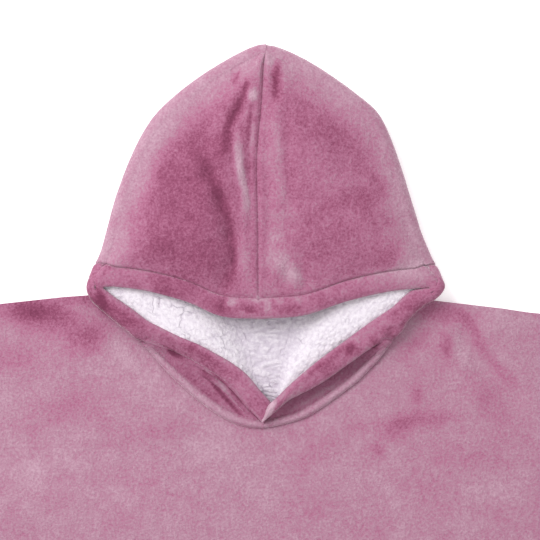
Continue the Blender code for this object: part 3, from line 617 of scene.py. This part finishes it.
def fleeceFinish(name):
    made = Finish(name)
    clump = made.mark("clump")
    curls = made.grain(0.0030, 3.0, 0.65, warp=1.2)
    fibres = made.grain(0.0011, 2.0, 0.7)
    # painted shade in the hollows between tufts
    tone = clump * 0.7 + (curls - 0.5) * 0.8 + (fibres - 0.5) * 0.5
    colour = made.mixed(tone.within(-0.3, 0.6), fleece["hollow"], fleece["crest"])
    # a few wandering partings in the pile, with painted shade in them
    sway = {0: made.grainColour(0.006), 1: (0.008, 0.008, 0.008), 2: made.place}
    bent = made.node("ShaderNodeVectorMath", {"operation": "MULTIPLY_ADD"}, sway)
    cells = {"Vector": bent, "Scale": 1 / 0.013}
    cell = made.node("ShaderNodeTexVoronoi", {"feature": "DISTANCE_TO_EDGE"}, cells)
    parted = (1.0 - cell.within(0.008, 0.055)) * made.grain(0.018, 1.0).within(0.54, 0.72)
    colour = made.mixed(parted * 0.5, colour, fleece["partingShade"])
    relief = made.node("ShaderNodeBump", {}, {
        "Strength": 0.6, "Distance": 0.0018, "Height": curls + fibres * 0.5 - parted * 0.5,
    })
    return made.done({
        "Base Color": colour, "Roughness": 1.0, "Normal": relief, "Specular IOR Level": 0.1,
        "Sheen Weight": fleece["sheen"], "Sheen Roughness": 0.5, "Sheen Tint": (1.0, 0.96, 1.0),
    })


plushCloth = plushFinish("plush_face")
sherpaCloth = fleeceFinish("sherpa_fleece")
print("finishes made")


# The front neck seam, from the left shoulder down to the throat and up to the right one:
# the first number is the section of the hood half that ends there, negative on the left.
neckPoints = np.array([
    (-7, -128, 8), (-6, -130, -12), (-5, -127, -36), (-4, -112.5, -54), (-3.5, -106.6, -63.6),
    (-3, -98, -73.5), (-2.5, -88, -83.5), (-2, -76.5, -94.5), (-1.5, -62, -106.5), (-1, -45, -118),
    (-0.5, -25, -126.8), (0, -4, -129.2), (0.5, 17, -126), (1, 37, -120), (1.5, 52, -112), (2, 66, -102.5),
    (2.5, 80, -92), (3, 92, -82.5), (3.5, 103, -71), (4, 112.5, -59.5),
    (5, 124.6, -38.4), (6, 130, -18), (7, 128, 4),
])


def neckAt(at):
    index = np.interp(at, neckPoints[:, 0], np.arange(len(neckPoints)))
    return through(neckPoints, index)[1:]


def hoodPlaces(last):
    forehead, each = hood["forehead"], hood["rowsPerSection"]
    hem = np.linspace(0, forehead, forehead * each + 1)
    crown = np.linspace(forehead, last, (last - forehead) * each + 1)
    return np.concatenate([hem, crown[1:]])


def hoodPanel(name, table, side, folds):
    places = hoodPlaces(len(table) - 1)
    points, along, near, fromBack, past, toRim = [], [], [], [], [], []
    for at in places:
        line = hoodLine(table, at, folds)
        length = measure(line)
        cut = panelColumns(line, length, at)
        row = readLine(line, length, cut)
        rim = line[-32]
        top = cut <= length[-32]
        away = np.hypot(row[:, 0] - rim[0], row[:, 1] - rim[1])
        points.append(row)
        along.append(cut)
        near.append(np.where(top, smooth(0, 34, away), 0.0))
        fromBack.append(length[-1] - cut)
        past.append(cut - hemReach(length, at))
        toRim.append(np.where(top, away, -1.0))
    toRim, past = np.array(toRim), np.array(past)
    points, along = np.array(points), np.array(along)
    near, fromBack = np.array(near), np.array(fromBack)
    at = places[:, None]
    forehead, jaw, corner = hood["forehead"], hood["jaw"], hood["corner"]
    upper = smooth(corner + 1, corner + 2.5, at)
    points[:, :, 2] += near * upper * foldHeight(hoodFolds, points[:, :, 0], points[:, :, 1])
    # the valley between the hem and the neck seam, and the roll along the seam
    throat = 1 - smooth(jaw - 1.9, jaw - 0.55, at)
    rolled = 1 - smooth(jaw - 0.5, jaw + 0.1, at)
    roll = np.exp(-(((fromBack - hood["rollFrom"]) / 3.2) ** 2))
    floorZ = folds["valleyFloor"] + (folds["rollTop"] - folds["valleyFloor"]) * roll
    floorZ = floorZ * smooth(-1.5, 3.0, fromBack) + 7.6 * (1 - smooth(-1.5, 3.0, fromBack))
    sunk = throat * smooth(-0.8, folds["steep"], past)
    points[:, :, 2] += sunk * (floorZ - points[:, :, 2])
    dip = np.exp(-(((fromBack - 11) / 2.6) ** 2))
    points[:, :, 2] += (rolled - throat) * (1.4 * roll - 1.8 * dip)
    crease = np.exp(-(((past - 6.4) / 1.4) ** 2)) * smooth(0.15, 0.5, at) * (1 - smooth(1.6, 2.3, at))
    valley = smooth(0.0, 2.0, past) * smooth(7.0, 10.0, fromBack) * throat
    points[:, :, 2] += throat * folds["crease"] * crease
    # seams pull the cloth down
    crown = at >= forehead
    peak = smooth(len(table) - 2.0, len(table) - 1.2, at)
    groove = hood["seamGroove"] * np.exp(-((along / 1.4) ** 2))
    points[:, :, 2] += np.where(crown, 0.8 * np.exp(-(((along - 7) / 4) ** 2)) - groove, 0)
    shut = hood["seamShut"] * np.exp(-((along / 3.0) ** 2)) * crown
    shut = np.maximum(shut, hood["peakShut"] * peak)
    points[:, :, 0] += side * shut
    normals = sheetNormals(points, side)
    seamShare = np.where(crown, 1 - smooth(0, 12, along), 0.0)
    atPeak = smooth(len(table) - 2.2, len(table) - 1.2, at)
    seamShare = np.maximum(seamShare, atPeak * (1 - smooth(0, 20, along)))
    normals = upright(normals, seamShare)
    normals[-1] = upright(normals[-1], np.ones(len(normals[-1])))
    normals[0] = upright(normals[0], np.ones(len(normals[0])))
    turned = places > corner - 1
    normals[turned, -1] = (0, 0, -1)
    wall = np.full(points.shape[:2], body["wall"])
    wall *= np.where(crown, 0.8 + 0.2 * smooth(0, 3, along), 0.5 + 0.5 * smooth(-1.4, 4, past))
    wall *= 1 - 0.5 * throat * (1 - smooth(0, 4, fromBack))
    fine = wander(points, 26.0, 3.0 + side) * 0.9 + wander(points, 9.0, 7.0 + side) * 0.35
    pulled = np.where(crown, 0, -1.3 * np.exp(-((past / 2.4) ** 2)))
    fine = fine * np.where(near > 0, 1, 0.4) * smooth(0, 3, np.where(crown, along, 9))
    points = points + normals * (fine + pulled)[:, :, None]
    offset = normals * wall[:, :, None] / 2
    # painted shade in the valley between the hem and the neck seam
    hollow = folds["shade"] * valley * smooth(0.1, 1.0, at)
    nap = napAndShadingAt(points[:, :, 0], points[:, :, 1]) * (toRim > -0.5)
    # painted highlight on the pile near the folded sides and on the roll along the neck seam
    fades = hood["rimLight"] * (1 - smooth(0, hood["rimWidth"], toRim)) ** 1.2
    rimLight = np.where(toRim < 0, hood["rimLight"], fades) * smooth(corner, corner + 2, at)
    rollLight = rolled * hood["rollLight"] * roll
    nap = nap + rimLight + rollLight
    marks = {"nap": nap, "hollow": hollow, "clump": np.full(nap.shape, hood["clump"])}
    lap = folds["lap"] * (1 - smooth(0.0, folds["lapRows"], at)) * smooth(5.0, 11.0, fromBack)
    points = points + lap[:, :, None] * np.array([1.0, -0.35, -0.2])
    meets = 1 - smooth(0.0, 0.25, at)
    points[:, :, 0] += folds["meet"] * meets * (1 - smooth(5.0, 11.0, fromBack))
    return clothShell(name, points + offset, points - offset, [plushCloth, sherpaCloth], marks)


def hoodHem(name, table, side, folds):
    places = hoodPlaces(len(table) - 1)
    places = places[places <= hood["forehead"]]
    points, cuts, width = [], [], []
    for at in places:
        line = hoodLine(table, at, folds)
        length = measure(line)
        reach = hemReach(length, at)
        cut = np.concatenate([
            4 * (1 - np.cos(np.linspace(0, math.pi / 2, 9))),
            np.linspace(5, reach - 3, 20),
            reach - 2.4 * np.cos(np.linspace(0.2, math.pi / 2, 6)),
        ])
        points.append(readLine(line, length, cut))
        cuts.append(cut)
        width.append(reach)
    points, cuts, width = np.array(points), np.array(cuts), np.array(width)[:, None]
    wraps = smooth(24, 40, width)
    across = np.abs(2 * np.clip(cuts / np.minimum(width, 24), 0, 1) - 1)
    plump = (1 - across**2.4) ** (1 / 2.1)
    free = np.sqrt(np.clip(1 - (1 - np.minimum(cuts, 4) / 4) ** 2, 0.004, 1))
    thick = hood["hemWall"] * np.minimum(free, np.maximum(plump, 0.34)) * (1 - wraps)
    wrapped = wraps * free * (4.4 + 3.4 * np.clip(1 - ((cuts - 10) / 10) ** 2, 0, 1))
    thick = thick + wrapped * (1 - 0.5 * smooth(width - 5, width, cuts))
    lap = (1 - smooth(0.0, folds["lapRows"], places))[:, None, None]
    points = points + lap * np.array(folds["hemLap"])
    points[-1, :, 0] = points[-1, 0, 0] + (points[-1, :, 1] - points[-1, 0, 1]) * -0.155
    forehead = hood["forehead"]
    points[:, :, 0] += side * 0.7 * smooth(forehead - 0.5, forehead, places)[:, None]
    normals = sheetNormals(points, side)
    normals[-1] = upright(normals[-1], np.ones(cuts.shape[1]))
    normals[0] = upright(normals[0], np.ones(cuts.shape[1]))
    fine = wander(points, 14.0, 11.0 + side) * 0.6 + wander(points, 6.0, 17.0) * 0.3
    # puckers where the stitching draws the cloth in
    stitches = np.diff(points[:, -1], axis=0, prepend=points[:1, -1])
    run = np.cumsum(np.linalg.norm(stitches, axis=1))
    pucker = np.array([noise.noise(Vector((r / 5.0, 3.0 + side, 0))) for r in run])[:, None]
    fine = fine + pucker * 1.2 * smooth(width * 0.3, width * 0.85, cuts) * (1 - wraps)
    fine = fine * smooth(0, 6, cuts) * (1 - smooth(width - 3, width, cuts))
    points = points + normals * fine[:, :, None]
    offset = normals * (thick / 2)[:, :, None]
    # painted highlight along both edges of the hem, painted shade down its middle
    rimHighlight = 1 - smooth(0, 4.5, cuts) + 0.8 * smooth(width - 3.5, width - 0.5, cuts)
    streaks = wander(points, 9.0, 51.0 + side)
    nap = napAndShadingAt(points[:, :, 0], points[:, :, 1]) + 0.75 * rimHighlight - 0.3 + streaks * 0.35
    # painted highlight on raised puckers, painted shade in their dips
    nap = nap + pucker * 0.5 * smooth(width * 0.4, width * 0.9, cuts)
    # painted highlight on the end face of the hem's tip
    nap = nap + folds["endLight"] * (1 - smooth(0.05, 0.28, places))[:, None]
    marks = {"nap": nap, "hollow": np.zeros(points.shape[:2])}
    return clothShell(name, points + offset, points - offset, [plushCloth, plushCloth], marks)


def necklineFront():
    line = np.array([neckAt(at) for at in np.linspace(-7, 7, 225)])
    away = line - np.array((0.0, -30.0))
    return line - away / np.linalg.norm(away, axis=1, keepdims=True) * 1.6


def bodyPanel(name, neck, shareColumn, base, folds):
    around, outward = body["around"], body["outward"]
    at = np.linspace(0, len(bodyEdge) - 1, around + 1)
    index = np.arange(len(bodyEdge))
    outer = np.stack([np.interp(at, index, bodyEdge[:, k]) for k in (0, 1)], axis=-1)
    inner = polyline(neck, np.interp(at, index, bodyEdge[:, shareColumn]))
    nearHem = 1 - np.array([32, 29, 27.5, 26, 24.5, 23, 20, 10, 5, 2.5, 1.2]) / 760
    steps = np.sort(np.concatenate([np.linspace(0, 1, outward - 10) ** 1.3, nearHem]))
    points = np.zeros((around + 1, outward + 1, 3))
    share = steps[None, :, None]
    points[:, :, :2] = inner[:, None] * (1 - share) + outer[:, None] * share
    for row, line in ((0, leftShoulder), (-1, rightShoulder)):
        points[row, :, :2] = polyline(line, steps)
        points[row, 0, :2] = inner[row]
    x, y = points[:, :, 0], points[:, :, 1]
    top = np.full(x.shape, base + body["wall"])
    low = np.full(x.shape, base)
    # distances from the seams and the free edge
    wide, hemY = body["halfWidth"], body["hemY"]
    toSide = np.minimum(np.abs(x + wide), np.abs(x - wide)) - np.interp(y, (hemY, -510, -330), (0, 10, 14))
    toHem = y - hemY + np.interp(np.abs(x), (0, wide), (9, 0))
    fromNeck = np.linalg.norm(points[:, :, :2] - inner[:, None], axis=2)
    if folds:
        clear = np.hypot(x - np.clip(x, -165, 165), y - 4)
        top += np.maximum(-1.8, smooth(30, 70, clear) * foldHeight(folds, x, y))
        slow = wander(points, 60.0, 21.0) * 0.9 * smooth(4, 30, fromNeck)
        top += slow + wander(points, 16.0, 23.0) * 0.35
    stitch = body["stitchDip"] * np.exp(-((toHem - body["hemFrom"]) / 2.0) ** 2)
    top -= body["seamDip"] * np.exp(-(toSide / 4.0) ** 2) + stitch
    top -= body["rimDip"] * np.exp(-(toHem / 2.4) ** 2)
    low += 1.2 * np.exp(-(toHem / 2.4) ** 2)
    if folds:
        top -= body["neckDip"] * np.exp(-(fromNeck / 2.6) ** 2)
    top = np.maximum(top, low + 0.8)
    upper = np.dstack([x, y, top])
    lower = np.dstack([x, y, low])
    # painted shade along the hem's stitch line
    stitched = body["stitchShade"] * np.exp(-((toHem - body["hemFrom"]) / 1.2) ** 2)
    marks = {"nap": napAndShadingAt(x, y) + body["nap"], "hollow": stitched, "clump": np.full(x.shape, hood["clump"])}
    faces = [plushCloth, sherpaCloth] if folds else [sherpaCloth, plushCloth]
    return clothShell(name, upper, lower, faces, marks, rimFinish=0 if folds else 1)


def sleeve(name, side):
    along, around = sleeves["along"], sleeves["around"]
    wall, fold = body["wall"], sleeves["fold"]
    topStart = -30.0 if side < 0 else -32.0
    nearCuff = np.array([404, 406.5, 408, 409.5, 412, 430, 431.2])
    outs = np.sort(np.concatenate([np.linspace(0, sleeves["length"], along + 1), nearCuff]))
    flat, bend = around // 2, np.linspace(0, math.pi, 11)[1:-1]
    lowBend = np.linspace(math.pi, 2 * math.pi, 11)[1:-1]
    rings, facing = [], []
    for out in outs:
        top = topStart + np.interp(out, sleeveStations[:, 0], sleeveStations[:, 1])
        low = topStart + np.interp(out, sleeveStations[:, 0], sleeveStations[:, 2])
        innerTop, innerLow = top - wall / 2 - fold, low + wall / 2 + fold
        middle = body["floorLayer"] + fold
        ys = np.concatenate([
            np.linspace(innerTop, innerLow, flat), np.full(9, innerLow),
            np.linspace(innerLow, innerTop, flat), np.full(9, innerTop),
        ])
        turn = np.concatenate([np.zeros(flat), bend, np.full(flat, math.pi), lowBend])
        ny, nz = -np.sin(turn), np.cos(turn)
        ys, zs = ys + fold * ny, middle + fold * nz
        share = (top - ys) / (top - low)
        xs = side * (sleeves["start"] + out * (1 - sleeves["skew"] * share))
        ring = np.stack([xs, ys, zs], axis=1)
        rings.append(np.vstack([ring, ring[:1]]))
        normal = np.stack([np.zeros(len(ys)), ny, nz], axis=1)
        facing.append(np.vstack([normal, normal[:1]]))
    rings, facing = np.array(rings), np.array(facing)
    x, y = rings[:, :, 0], rings[:, :, 1]
    fine = wander(rings, 50.0, 31.0 + side) + foldHeight(sleeveFolds, np.abs(x), y)
    cuff, whole = sleeves["length"] - outs[:, None], np.ones(rings.shape[:2])
    groove = -np.exp(-((cuff - sleeves["hemFrom"]) / 2.0) ** 2) * whole
    wallHere = wall - 1.6 * np.exp(-(cuff / 3.0) ** 2) - 1.6 * np.exp(-(outs[:, None] / 3.0) ** 2)
    raised = np.where(facing[:, :, 2] > 0, fine + groove, groove)
    outside = rings + facing * (wallHere / 2 + raised)[:, :, None]
    inside = rings - facing * (wallHere / 2 * whole)[:, :, None]
    # painted shade along the cuff's stitch line
    stitched = body["stitchShade"] * np.exp(-((cuff - sleeves["hemFrom"]) / 1.2) ** 2) * whole
    marks = {"nap": napAndShadingAt(x, y) + body["nap"], "hollow": stitched, "clump": whole * hood["clump"]}
    return clothShell(name, outside, inside, [plushCloth, sherpaCloth], marks, tube=True)


def clumps(points, size):
    # curled tufts: rounded cells of two sizes with a finer grain on them
    flat = points.reshape(-1, 3)
    made = []
    for x, y, z in flat:
        place = Vector((x / size, y / size, z / size * 0.4))
        near = noise.voronoi(place + 0.35 * noise.noise_vector(place * 0.9))[0]
        fine = noise.voronoi(place * 2.3)[0]
        made.append((1 - min(near[0], 1.0) ** 1.3) * 0.7 + (1 - min(fine[0], 1.0)) * 0.3)
    return np.array(made).reshape(points.shape[:2])


def liningSide(name, table, side):
    rows, columns = sherpa["rows"], sherpa["columns"]
    middle = []
    for at in np.linspace(0, len(table) - 1, rows + 1):
        z = through(table, at)
        t = np.linspace(0, 1, columns + 1)[:, None]
        row = z[0:3] * (1 - t) + z[3:6] * t
        swell = z[6] * smooth(-0.12, 0.3, t[:, 0]) * (1 - smooth(0.5, 1.0, t[:, 0]))
        row[:, 2] += swell - sherpa["inward"] * smooth(0.6, 1.0, t[:, 0])
        middle.append(row)
    middle = np.array(middle)
    curl = clumps(middle, sherpa["clump"])
    lift = (curl - 0.55) * sherpa["lift"] * 2
    upper = middle + np.array([0, 0, 2.4]) + np.dstack([np.zeros(lift.shape), np.zeros(lift.shape), lift])
    lower = middle - np.array([0, 0, 2.6])
    # tuft height, with painted shade on the inner edge where it dips into the valley
    valley = smooth(0.72, 1.0, np.linspace(0, 1, columns + 1))[None, :]
    marks = {"clump": (curl - 0.25) * 1.35 - valley * sherpa["valley"]}
    return clothShell(name, upper, lower, [sherpaCloth, sherpaCloth], marks)


def napeSheet(name):
    rows, columns = sherpa["napeRows"], sherpa["napeColumns"]
    points = []
    for at in np.linspace(0, len(napeLining) - 1, rows + 1):
        y, left, right = through(napeLining, at)
        xs = np.linspace(left, right, columns + 1)
        points.append(np.stack([xs, np.full(len(xs), y), np.full(len(xs), 7.8)], axis=1))
    points = np.array(points)
    curl = clumps(points, sherpa["clump"] * 0.9)
    stretched = points * np.array([0.28, 1.0, 1.0])
    shadedCreases = 1 - np.abs(wander(stretched, 4.6, 41.0)) * 2.4
    relief = (curl - 0.55) * 1.1 - np.maximum(0, shadedCreases - 0.35) * 1.6
    upper = points + np.dstack([np.zeros(curl.shape), np.zeros(curl.shape), 2.5 + relief])
    lower = points - np.array([0, 0, 2.5])
    # tuft height, painted shade in the crinkles, and the whole nape a little darker as painted shade in the
    # valley
    marks = {"clump": (curl - 0.25) * 1.1 - np.maximum(0, shadedCreases - 0.35) * 0.9 - 0.14}
    return clothShell(name, upper, lower, [sherpaCloth, sherpaCloth], marks)


frontNeck = necklineFront()
pieces = {
    "back_cloth": (bodyPanel("back_cloth", backNeck, 3, 0.0, None), "body_back"),
    "front_cloth": (bodyPanel("front_cloth", frontNeck, 2, body["frontBase"], frontFolds), "body_front"),
    "left_sleeve_cloth": (sleeve("left_sleeve_cloth", -1), "sleeve_left"),
    "right_sleeve_cloth": (sleeve("right_sleeve_cloth", 1), "sleeve_right"),
}
print("body and sleeves made")
pieces.update({
    "left_hood_cloth": (hoodPanel("left_hood_cloth", leftHood, 1, leftFolds), "hood_left"),
    "right_hood_cloth": (hoodPanel("right_hood_cloth", rightHood, -1, rightFolds), "hood_right"),
    "left_hood_hem": (hoodHem("left_hood_hem", leftHood, 1, leftFolds), "hood_edge_left"),
    "right_hood_hem": (hoodHem("right_hood_hem", rightHood, -1, rightFolds), "hood_edge_right"),
})
print("hood made")
pieces.update({
    "left_sherpa": (liningSide("left_sherpa", leftLining, -1), "hood_lining_left"),
    "right_sherpa": (liningSide("right_sherpa", rightLining, 1), "hood_lining_right"),
    "nape_sherpa": (napeSheet("nape_sherpa"), "nape_lining"),
})
print("sherpa made")

for name, (piece, node) in pieces.items():
    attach(piece, "root")
    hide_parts(node)

studio = {
    "cameraHeight": 1.52,
    "lens": 100.0,
    "floor": (0.97, 0.97, 0.97),
    "floorGlow": 0.3,  # a lit table, so shadows on it stay faint
    "floorHalf": 6.0,
    "centre": (0.004, 0.332856),  # what the camera is above
    "world": 0.84,
    "key": (-1.8, 1.7, 2.2, 80.0, 1.7),  # x, y, z, watts, size
    "fill": (1.6, -0.6, 2.6, 6.0, 2.4),
}

floorMesh = bmesh.new()
bmesh.ops.create_grid(floorMesh, x_segments=2, y_segments=2, size=studio["floorHalf"])
bmesh.ops.translate(floorMesh, verts=floorMesh.verts[:], vec=(0, 0, -0.0004))
floorData = bpy.data.meshes.new("floor")
floorMesh.to_mesh(floorData)
floorMesh.free()
floor = bpy.data.objects.new("floor", floorData)
bpy.context.scene.collection.objects.link(floor)
paper = Finish("floor_paper")
floorData.materials.append(paper.done({
    "Base Color": studio["floor"], "Roughness": 0.9, "Specular IOR Level": 0.1,
    "Emission Color": (1.0, 1.0, 1.0), "Emission Strength": studio["floorGlow"],
}))

scene = bpy.context.scene
world = bpy.data.worlds.new("studio")
scene.world = world
world.use_nodes = True
world.node_tree.nodes["Background"].inputs[0].default_value = (1, 1, 1, 1)
world.node_tree.nodes["Background"].inputs[1].default_value = studio["world"]
scene.view_settings.view_transform = "Standard"

for lampName in ("key", "fill"):
    x, y, z, watts, size = studio[lampName]
    lamp = bpy.data.lights.new(lampName, "AREA")
    lamp.energy, lamp.size = watts, size
    holder = bpy.data.objects.new(lampName, lamp)
    holder.location = (x, y, z)
    aim = Vector((0, 0.3, 0)) - Vector((x, y, z))
    holder.rotation_euler = aim.to_track_quat("-Z", "Y").to_euler()
    scene.collection.objects.link(holder)

lens = bpy.data.cameras.new("camera")
lens.lens, lens.sensor_width = studio["lens"], 36.0
camera = bpy.data.objects.new("camera", lens)
camera.location = (*studio["centre"], studio["cameraHeight"])
scene.collection.objects.link(camera)
scene.camera = camera
print("studio made")
